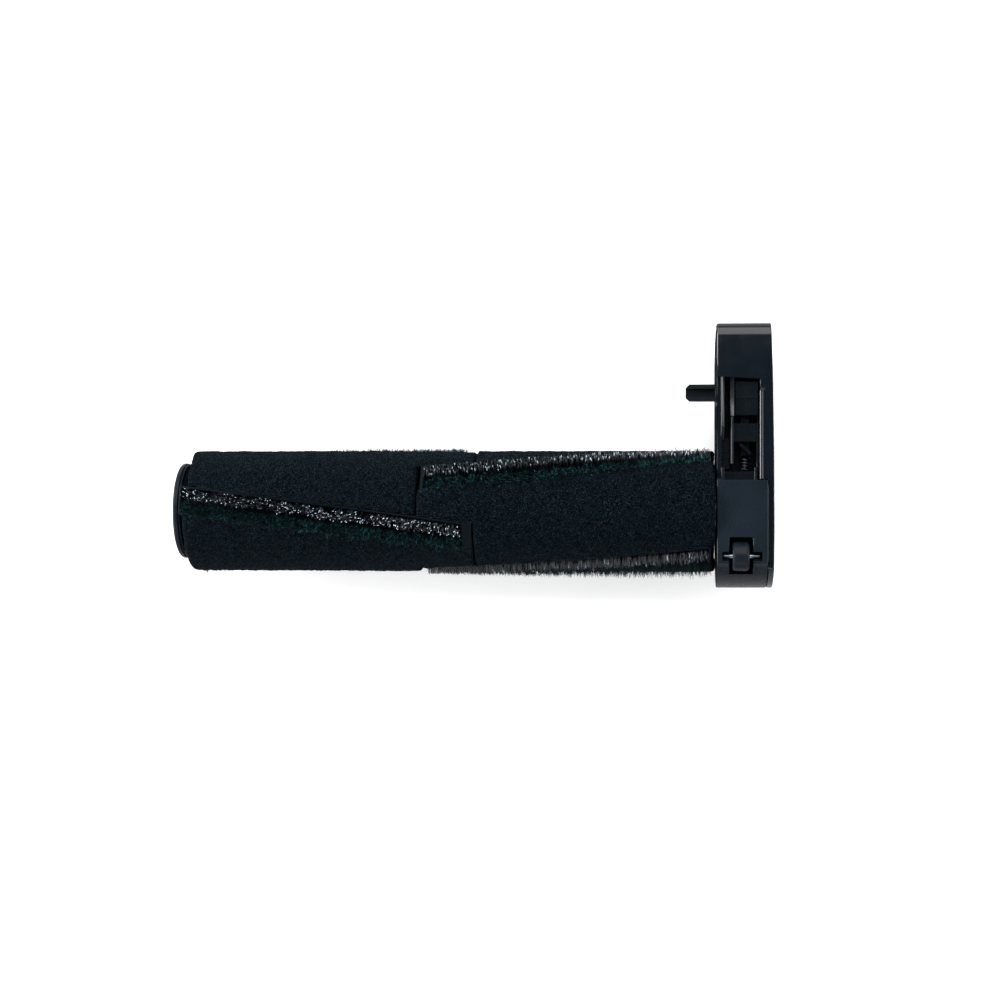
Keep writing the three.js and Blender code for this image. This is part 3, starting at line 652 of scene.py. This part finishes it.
# %% Slope the rib crests
def lower_corners(piece, x_range, y_range, z_range, drop):
    """Lowers the corners in a box by drop, in mm from the cap's inner face and the roller axis."""
    origin = Vector((cap_face_x, roller_axis.y, roller_axis.z))
    pick_faces(piece, lambda centre, normal: False)
    bpy.context.tool_settings.mesh_select_mode = (True, False, False)
    for corner in piece.data.vertices:
        place = (corner.co - origin) / MM
        inside = zip(place, (x_range, y_range, z_range))
        corner.select = all(low <= value <= high for value, (low, high) in inside)
    count = sum(corner.select for corner in piece.data.vertices)
    in_edit_mode(piece, lambda: bpy.ops.transform.translate(value=(0, 0, -drop * MM)))
    print(piece.name, count, "corners lowered")


CREST_HEIGHTS = (21.4, 22.4)
RIB_END = 60.2
RIB_REACH = RIB_END + 0.1
# For each sloping crest: the edge that drops, its run along the rib, and the drop. The middle
# rib is narrow in front and widens behind, so it takes two.
DROPPED_EDGES = (
    ((1.9, 2.35), (37.8, RIB_REACH), 0.76),
    ((6.1, 6.45), (21.2, 42.7), 0.58),
    ((5.6, 5.95), (42.5, RIB_REACH), 1.25),
)
in_edit_mode(
    cap_frame,
    lambda: bpy.ops.mesh.select_all(action="SELECT"),
    lambda: bpy.ops.mesh.bisect(plane_co=(0, roller_axis.y + RIB_END * MM, 0), plane_no=(0, 1, 0)),
)
for edge, run, drop in DROPPED_EDGES:
    lower_corners(cap_frame, edge, run, CREST_HEIGHTS, drop)

# %% [markdown]
# ## Latch spring
#
# A small coil pushes the slider back. Its wire is round, so it is shaded smooth over wide
# angles. The coil moves with the body of the latch spring and gets a mesh of its own.

# %% Latch spring
coil = smooth(copy_of("latch_spring", "latch_coil"), 60)
stands_for(coil, "latch_spring", SPRING_STEEL)
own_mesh(coil)

# %% [markdown]
# ## Roller ends
#
# The drive disc shows its rim, groove and second ring at the left end of the roller, and only
# its edges need a radius. The idle end is a plain satin plug. The core between them shows only
# through narrow gaps, and its coarse black keeps those gaps dark.

# %% Drive disc, idle plug and core
moulded("drive_end_disc", "drive_disc", 0.2, DISC_BLACK)
moulded("idle_end_plug", "idle_plug", 0.2, SATIN_BLACK)
moulded("core_tube", "core_sleeve", 0.2, COARSE_BLACK)

# %% [markdown]
# ## Velour pads
#
# Each pad is a curved slab with a notch where a strip of the other half runs in. The CAD slab
# is remeshed into small even squares and smoothed. Three moves then turn the slab into pile,
# as a sculptor would with a grab brush. The top of every side that faces a strip spreads over
# the edge of the strip's channel, the ends are rounded off, and on the rear pad the nap at the
# drive end is pressed back by handling. Last, two scales of cloud noise push the surface in and
# out: broad lumps where the nap lies unevenly, and a fine one for the loops that roughen the
# outline.


# %% Velour pads
def noise_field(name, size, depth=2):
    field = bpy.data.textures.new(name, "CLOUDS")
    field.noise_scale = size * MM
    field.noise_depth = depth
    return field


LUMPS = noise_field("nap_lumps", 5.0)
LOOPS = noise_field("nap_loops", 0.9)
LUMP_HEIGHT = 0.5 * MM
LOOP_HEIGHT = 0.9 * MM
PILE_SQUARE = 0.85 * MM
PILE_TOP = 27.5 * MM
END_ROUND = 2.0 * MM
END_PRESS = 2.4 * MM
END_REACH = 9 * MM
SPREAD = 0.9 * MM
SPREAD_FROM = 1.3 * MM
SPREAD_FADE = 0.7 * MM
PAD_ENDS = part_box("velour_pad_left_1")[0][0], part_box("velour_pad_right_1")[1][0]


def round_ends(points, radius):
    """Eases the pile down towards both ends of the roller along a quarter circle."""
    for end, reach in zip(PAD_ENDS, (END_ROUND, END_ROUND / 2)):
        inward = np.clip(np.abs(points[:, 0] - end), 0, reach)
        drop = reach - np.sqrt(reach**2 - (reach - inward) ** 2)
        lowered = np.minimum(radius, PILE_TOP - drop)
        points[:, 1:] *= (lowered / radius)[:, None]
        radius = lowered
    return radius


def press_left_end(points, radius):
    """Presses the pile back at the drive end, on the rear pad where it faces up."""
    facing_up = np.clip(points[:, 2] / radius, 0, 1) * (points[:, 1] > END_PRESS)
    distance = points[:, 0] - PAD_ENDS[0]
    points[:, 0] += END_PRESS * facing_up * np.clip(1 - distance / END_REACH, 0, 1)


def spread_sides(points, normals, radius):
    """Pushes the top of the upright sides outwards, and returns each point's share of the move."""
    outward = points[:, 1:] / radius[:, None]
    facing_out = np.abs((normals[:, 1:] * outward).sum(axis=1))
    # 1 where a side stands upright, falling to 0 on the pad's top and underside and at its ends
    upright = np.clip((0.75 - facing_out) / 0.4, 0, 1) * (np.abs(normals[:, 0]) < 0.6)
    height = np.clip((radius - (PILE_TOP - SPREAD_FROM)) / SPREAD_FADE, 0, 1)
    points += normals * (upright * height * SPREAD)[:, None]
    return upright * height


def velour_pad(node):
    """Turns the slab of a CAD pad into pile."""
    pad = copy_of(node, node + "_nap")
    finished(pad, "REMESH", mode="VOXEL", voxel_size=PILE_SQUARE)
    finished(pad, "SMOOTH", factor=0.5, iterations=6)
    mesh = pad.data
    points = np.empty(len(mesh.vertices) * 3)
    normals = np.empty(len(mesh.vertices) * 3)
    mesh.vertices.foreach_get("co", points)
    mesh.vertices.foreach_get("normal", normals)
    points, normals = points.reshape(-1, 3), normals.reshape(-1, 3)
    axis = np.array((0, roller_axis.y, roller_axis.z))
    points -= axis
    flank = spread_sides(points, normals, np.hypot(points[:, 1], points[:, 2]))
    radius = round_ends(points, np.hypot(points[:, 1], points[:, 2]))
    press_left_end(points, radius)
    mesh.vertices.foreach_set("co", (points + axis).reshape(-1))
    # the share of the spread move is stored as the mask of the painted flank sheen
    mesh.attributes.new("flank", "FLOAT", "POINT").data.foreach_set("value", flank)
    mesh.update()
    finished(pad, "DISPLACE", texture=LUMPS, strength=LUMP_HEIGHT, mid_level=0.45)
    finished(pad, "DISPLACE", texture=LOOPS, strength=LOOP_HEIGHT, mid_level=0.5)
    only(pad)
    bpy.ops.object.shade_smooth()
    print(pad.name, triangles(pad), "triangles")
    return pad


def nodes_of(kind):
    return [node for node in frame["nodes"] if node.startswith(kind)]


for node in nodes_of("velour_pad"):
    pad = stands_for(velour_pad(node), node, VELOUR)

# %% [markdown]
# ## Strip carriers
#
# Each bristle strip is held in a dark grey channel, extruded and then twisted to the helix. Its
# end block and the tops of its walls show beside the pads. A twisted wall has shallow creases
# between its stretches, so only edges sharper than 40 degrees get a radius.

# %% Strip carriers
for node in nodes_of("strip_carrier"):
    moulded(node, node + "_channel", 0.2, GREY_PLASTIC, angle=40)

# %% [markdown]
# ## One filament
#
# A strip holds a few thousand filaments, so one is modelled and the rest are copies of it. It
# starts as a thin cylinder with few sides, is cut across into lengths so that it can bend, and
# is narrowed towards its end. It is one unit long, and each copy is stretched to its place.


# %% One filament
def one_filament(name, sides, lengths, tip_width):
    """Models a filament and returns its corners and its faces."""
    bpy.ops.object.select_all(action="DESELECT")
    bpy.ops.mesh.primitive_cylinder_add(
        vertices=sides, radius=1, depth=1, location=(0, 0, 0.5), end_fill_type="NGON"
    )
    shaft = added(name)
    for cut in range(1, lengths):
        in_edit_mode(
            shaft,
            lambda: bpy.ops.mesh.select_all(action="SELECT"),
            lambda: bpy.ops.mesh.bisect(plane_co=(0, 0, cut / lengths), plane_no=(0, 0, 1)),
        )
    pick_faces(shaft, lambda centre, normal: normal.z > 0.9)
    in_edit_mode(shaft, lambda: bpy.ops.transform.resize(value=(tip_width, tip_width, 1)))
    corners = np.array([corner.co[:] for corner in shaft.data.vertices])
    faces = [list(face.vertices) for face in shaft.data.polygons]
    bpy.data.objects.remove(shaft)
    print(name, len(faces), "faces")
    return corners, faces


BRISTLE = one_filament("one_bristle", 4, 2, 0.8)
FIBRE = one_filament("one_fibre", 3, 4, 0.5)

# %% [markdown]
# ## Where a row stands
#
# A CAD bar shows the space that a row fills. Reading its corners at each station along the
# strip gives where the filaments stand and how high they reach, with the twist of the helix
# included. Between two stations the corners are interpolated.


# %% Where a row stands
STATION_GAP = 1 * MM


def from_axis(corner):
    return math.hypot(corner[1] - roller_axis.y, corner[2] - roller_axis.z)


def bar_stations(node):
    """For each station along a CAD bar: its x, and its root and tip corners across the strip."""
    mesh = frame["nodes"][node].data
    stations = []
    for corner in sorted({tuple(round(v, 6) for v in vertex.co) for vertex in mesh.vertices}):
        if not stations or corner[0] - stations[-1][0][0] > STATION_GAP:
            stations.append([])
        stations[-1].append(corner)
    found = []
    for station in stations:
        by_radius = sorted(station, key=from_axis)
        root, tip = np.array(by_radius[:2]), np.array(by_radius[-2:])
        out = tip.mean(axis=0) - root.mean(axis=0)
        across = np.cross(out, (1, 0, 0))
        for pair in (root, tip):
            if np.dot(pair[1] - pair[0], across) < 0:
                pair[:] = pair[::-1].copy()
        found.append((station[0][0], root, tip))
    return found


def between(corners, stations_x, x, across):
    """Points at x along a strip, and at a share across it, between its two lines of corners."""
    table = np.array(corners)
    low, high = (
        np.stack([np.interp(x, stations_x, table[:, side, axis]) for axis in range(3)], axis=1)
        for side in (0, 1)
    )
    return low * (1 - across)[:, None] + high * across[:, None]


def unit(vectors):
    return vectors / np.linalg.norm(vectors, axis=1)[:, None]


# %% [markdown]
# ## Planting a row
#
# Every filament gets its own root, tip and bend from a seeded random draw, so the row is uneven
# in the same way at each run. Its place in the bar is drawn first. Then comes its tip: how high
# it reaches, and how far it leans with its tuft, with its row and by itself. Last, the filament
# is bent, with the square of the way along it for a bow, and with the fourth power for a droop
# that only takes its outer part.


# %% Planting a row
TUFT_PITCH = 1.3 * MM
DROOP_SPREAD = (0.85, 1.05)
ASLANT = (0.3, 0.9, 0.2)  # a direction that no filament points in


def tufted(rng, x, spread):
    """A sideways push that is shared by all filaments of a tuft."""
    tuft = np.floor((x - x.min()) / TUFT_PITCH).astype(int)
    return rng.normal(0, spread, (tuft.max() + 1, 2))[tuft]


def bent_copies(corners, root, tip, bow, droop, width):
    """Stretches the one filament from each root to its tip, and bends it."""
    along = corners[:, 2]
    forward = unit(tip - root)
    first = unit(np.cross(forward, ASLANT))
    second = np.cross(forward, first)
    thick = width * MM / 2
    return (
        root[:, None, :]
        + (tip - root)[:, None, :] * along[None, :, None]
        + bow[:, None, :] * (along * along)[None, :, None]
        + droop[:, None, :] * (along**4)[None, :, None]
        + first[:, None, :] * corners[None, :, 0, None] * thick
        + second[:, None, :] * corners[None, :, 1, None] * thick
    )


def plant(node, seed, row):
    """Fills the space of a CAD bar with the filaments that a row describes."""
    rng = np.random.default_rng(seed)
    count, bend, lean = row["count"], row["bend"] * MM, row["lean"] * MM
    xs, roots, tips = zip(*bar_stations(node))
    x = rng.uniform(xs[0], xs[-1], count)
    across = rng.uniform(0, 1, count)
    root = between(roots, xs, x, across)
    height = between(tips, xs, x, across) - root
    tip = root + height * (1 + rng.uniform(*row["reach"], count))[:, None]
    outer = unit(np.cross(height, (-1.0, 0.0, 0.0)))
    push = tufted(rng, x, row["tuft"] * MM)
    belly = np.sin(math.pi * (x - xs[0]) / (xs[-1] - xs[0]))
    tip[:, 0] += rng.normal(0, lean, count) + push[:, 0]
    sideways = rng.normal(0, lean, count) + push[:, 1] + row["sweep"] * MM + row["sag"] * MM * belly
    tip += outer * sideways[:, None]
    bow = outer * rng.normal(0, bend, count)[:, None]
    bow[:, 0] += rng.normal(0, bend, count)
    droop = np.interp(x, (xs[0], xs[-1]), [end * MM for end in row["droop"]])
    droop = outer * droop[:, None] * rng.uniform(*DROOP_SPREAD, count)[:, None]
    corners, faces = row["shape"]
    points = bent_copies(corners, root, tip, bow, droop, row["width"])
    # the stored along places each filament's painted light and shade; the row's root shade value
    # sets how far it falls towards the root
    return filament_mesh(
        node + "_row", points, faces,
        along=np.tile(1 - (1 - corners[:, 2]) * row["painted_root_shade"], count),
        shade=np.repeat(rng.uniform(0, row["palest"], count), len(corners)),
    )


def filament_mesh(name, points, faces, **numbers):
    """One mesh of all copies, given as a list of corners for each, with numbers on its corners."""
    count, size = points.shape[:2]
    all_faces = [[i * size + corner for corner in face] for i in range(count) for face in faces]
    mesh = bpy.data.meshes.new(name)
    mesh.from_pydata(points.reshape(-1, 3).tolist(), [], all_faces)
    for number, values in numbers.items():
        mesh.attributes.new(number, "FLOAT", "POINT").data.foreach_set("value", values)
    mesh.polygons.foreach_set("use_smooth", [True] * len(mesh.polygons))
    piece = bpy.data.objects.new(name, mesh)
    bpy.context.scene.collection.objects.link(piece)
    print(name, count, "filaments,", triangles(piece), "triangles")
    return piece


# %% [markdown]
# ## Stiff bristles and soft fibres
#
# The stiff row stands upright and is cut nearly level. The soft row is finer and denser, leans
# out over the edge of the pad beside it, and is ruffled. Lengths are in millimetres:
#
# - reach is how much shorter or longer than the bar the filaments are, as shares of its height
# - sweep leans the whole row over, and sag adds to that in the middle of the strip
# - droop bends the outer parts over, from its first value at the left end to its second
# - painted_root_shade is how far "along" falls from the tip to the root, as painted shade on the
#   sides: with less of it the sides are painted lit too
# - palest is the palest shade in the row; in a stiff row it also caps how many tips carry the
#   painted glint, and how bright
#
# The first and third strips of the right half are worn and lie over more than the others, and
# their stiff rows show more painted light along their sides and fewer painted tip glints, so
# their rows have some values of their own.

# %% Plant the strips
STIFF_ROW = {
    "shape": BRISTLE, "count": 900, "width": 0.33, "lean": 0.45, "bend": 0.15, "tuft": 0.0,
    "reach": (-0.12, 0.08), "sweep": 0.0, "sag": 0.0, "droop": (0.0, 0.0),
    "painted_root_shade": 1.0, "palest": 0.97,
}
SOFT_ROW = {
    "shape": FIBRE, "count": 3800, "width": 0.20, "lean": 0.7, "bend": 0.6, "tuft": 0.45,
    "reach": (-0.25, 0.15), "sweep": 1.3, "sag": 0.0, "droop": (0.0, 0.0),
    "painted_root_shade": 1.0, "palest": 0.92,
}
# in these rows the root shade and palest values set painted light: more lit sides, fewer tip glints
OWN_VALUES = {
    "stiff_bristles_right_1": {"sweep": 1.6, "painted_root_shade": 0.35, "palest": 0.71},
    "stiff_bristles_right_3": {"sweep": 0.5, "painted_root_shade": 0.6, "palest": 0.80},
    "soft_fibres_right_1": {"reach": (-0.10, 0.22), "droop": (1.0, 5.6), "palest": 0.72},
    "soft_fibres_right_3": {"sag": 2.6, "palest": 1.0},
}
for kind, usual, finish, first_seed in (
    ("stiff_bristles", STIFF_ROW, STIFF_BRISTLE, 100),
    ("soft_fibres", SOFT_ROW, SOFT_FIBRE, 200),
):
    for seed, node in enumerate(nodes_of(kind), first_seed):
        row = plant(node, seed, {**usual, **OWN_VALUES.get(node, {})})
        stands_for(row, node, finish)

# %% [markdown]
# ## Floor wheel
#
# The wheel is a hard hub in a soft tyre with rounded shoulders, on a steel pin. The shoulders
# take two segments and a low angle, because rubber has no sharp edges at all.

# %% Floor wheel
moulded("wheel_tyre", "tyre", 0.25, RUBBER, segments=2, angle=20)
moulded("wheel_hub", "hub", 0.2, SATIN_BLACK)
moulded("wheel_axle", "wheel_pin", 0.12, STEEL)

# %% [markdown]
# ## Floor and light
#
# The floor is a plain pale sheet. The light is soft and comes from large panels behind, in
# front and at the sides, and none stands over the object: its flat black faces then mirror a
# dim ceiling and stay dark, while every rounded edge finds a panel to reflect. Glossy pieces
# see the floor as grey card, as if black flags stood round the object, which keeps their low
# sides dark against the pale floor.


# %% Floor and light
FLOOR_SIZE = 8
FLOOR_GAP = 0.2 * MM
PANEL_DISTANCE = 1.6
DIM_ABOVE = 0.55


def stage_floor():
    bpy.ops.object.select_all(action="DESELECT")
    bpy.ops.mesh.primitive_plane_add(size=FLOOR_SIZE, location=(0, 0, -FLOOR_GAP))
    floor = added("floor")
    finish = Finish("pale_floor", Roughness=0.9, Specular_IOR_Level=0.1)
    paper = finish.mix(finish.noise(400, 2), rgb(0.91, 0.91, 0.91), rgb(0.94, 0.94, 0.94))
    mirrored = finish.node("ShaderNodeLightPath").outputs["Is Glossy Ray"]
    finish.tint(mirrored, paper, rgb(0.42, 0.43, 0.44))
    floor.data.materials.append(finish.material)


def panel(name, off_vertical, heading, width, height, power):
    """A soft light panel that faces the object, placed by its angle from straight up."""
    tilt, turn = math.radians(off_vertical), math.radians(heading)
    sideways, forward = math.sin(tilt) * math.sin(turn), math.sin(tilt) * math.cos(turn)
    toward = Vector((sideways, forward, math.cos(tilt)))
    light = bpy.data.lights.new(name, "AREA")
    light.shape = "RECTANGLE"
    light.size = width
    light.size_y = height
    light.energy = power
    lamp = bpy.data.objects.new(name, light)
    lamp.location = toward * PANEL_DISTANCE
    lamp.rotation_mode = "QUATERNION"
    lamp.rotation_quaternion = toward.to_track_quat("Z", "Y")
    bpy.context.scene.collection.objects.link(lamp)
    radiance = power / (math.pi * math.pi * width * height)
    print(name, "radiance", round(radiance, 2))


def room(overhead, horizon):
    """Lights the scene from all round, less and less from the horizon up to DIM_ABOVE."""
    world = bpy.data.worlds.new("room")
    bpy.context.scene.world = world
    world.use_nodes = True
    nodes, links = world.node_tree.nodes, world.node_tree.links
    background = nodes["Background"]
    direction = nodes.new("ShaderNodeTexCoord")
    height = nodes.new("ShaderNodeSeparateXYZ")
    links.new(direction.outputs["Generated"], height.inputs[0])
    strength = nodes.new("ShaderNodeMapRange")
    strength.interpolation_type = "SMOOTHSTEP"
    strength.inputs["From Min"].default_value = 0.0
    strength.inputs["From Max"].default_value = DIM_ABOVE
    strength.inputs["To Min"].default_value = horizon
    strength.inputs["To Max"].default_value = overhead
    links.new(height.outputs["Z"], strength.inputs["Value"])
    links.new(strength.outputs[0], background.inputs["Strength"])
    background.inputs["Color"].default_value = rgb(0.94, 0.97, 1.0)


stage_floor()
panel("rear_panel", off_vertical=46, heading=0, width=2.2, height=1.8, power=64)
panel("front_panel", off_vertical=56, heading=180, width=2.0, height=1.0, power=14)
panel("left_panel", off_vertical=74, heading=-90, width=1.8, height=0.9, power=96)
panel("right_panel", off_vertical=74, heading=90, width=1.8, height=0.9, power=32)
room(overhead=0.10, horizon=0.50)
bpy.context.scene.view_settings.view_transform = "Standard"
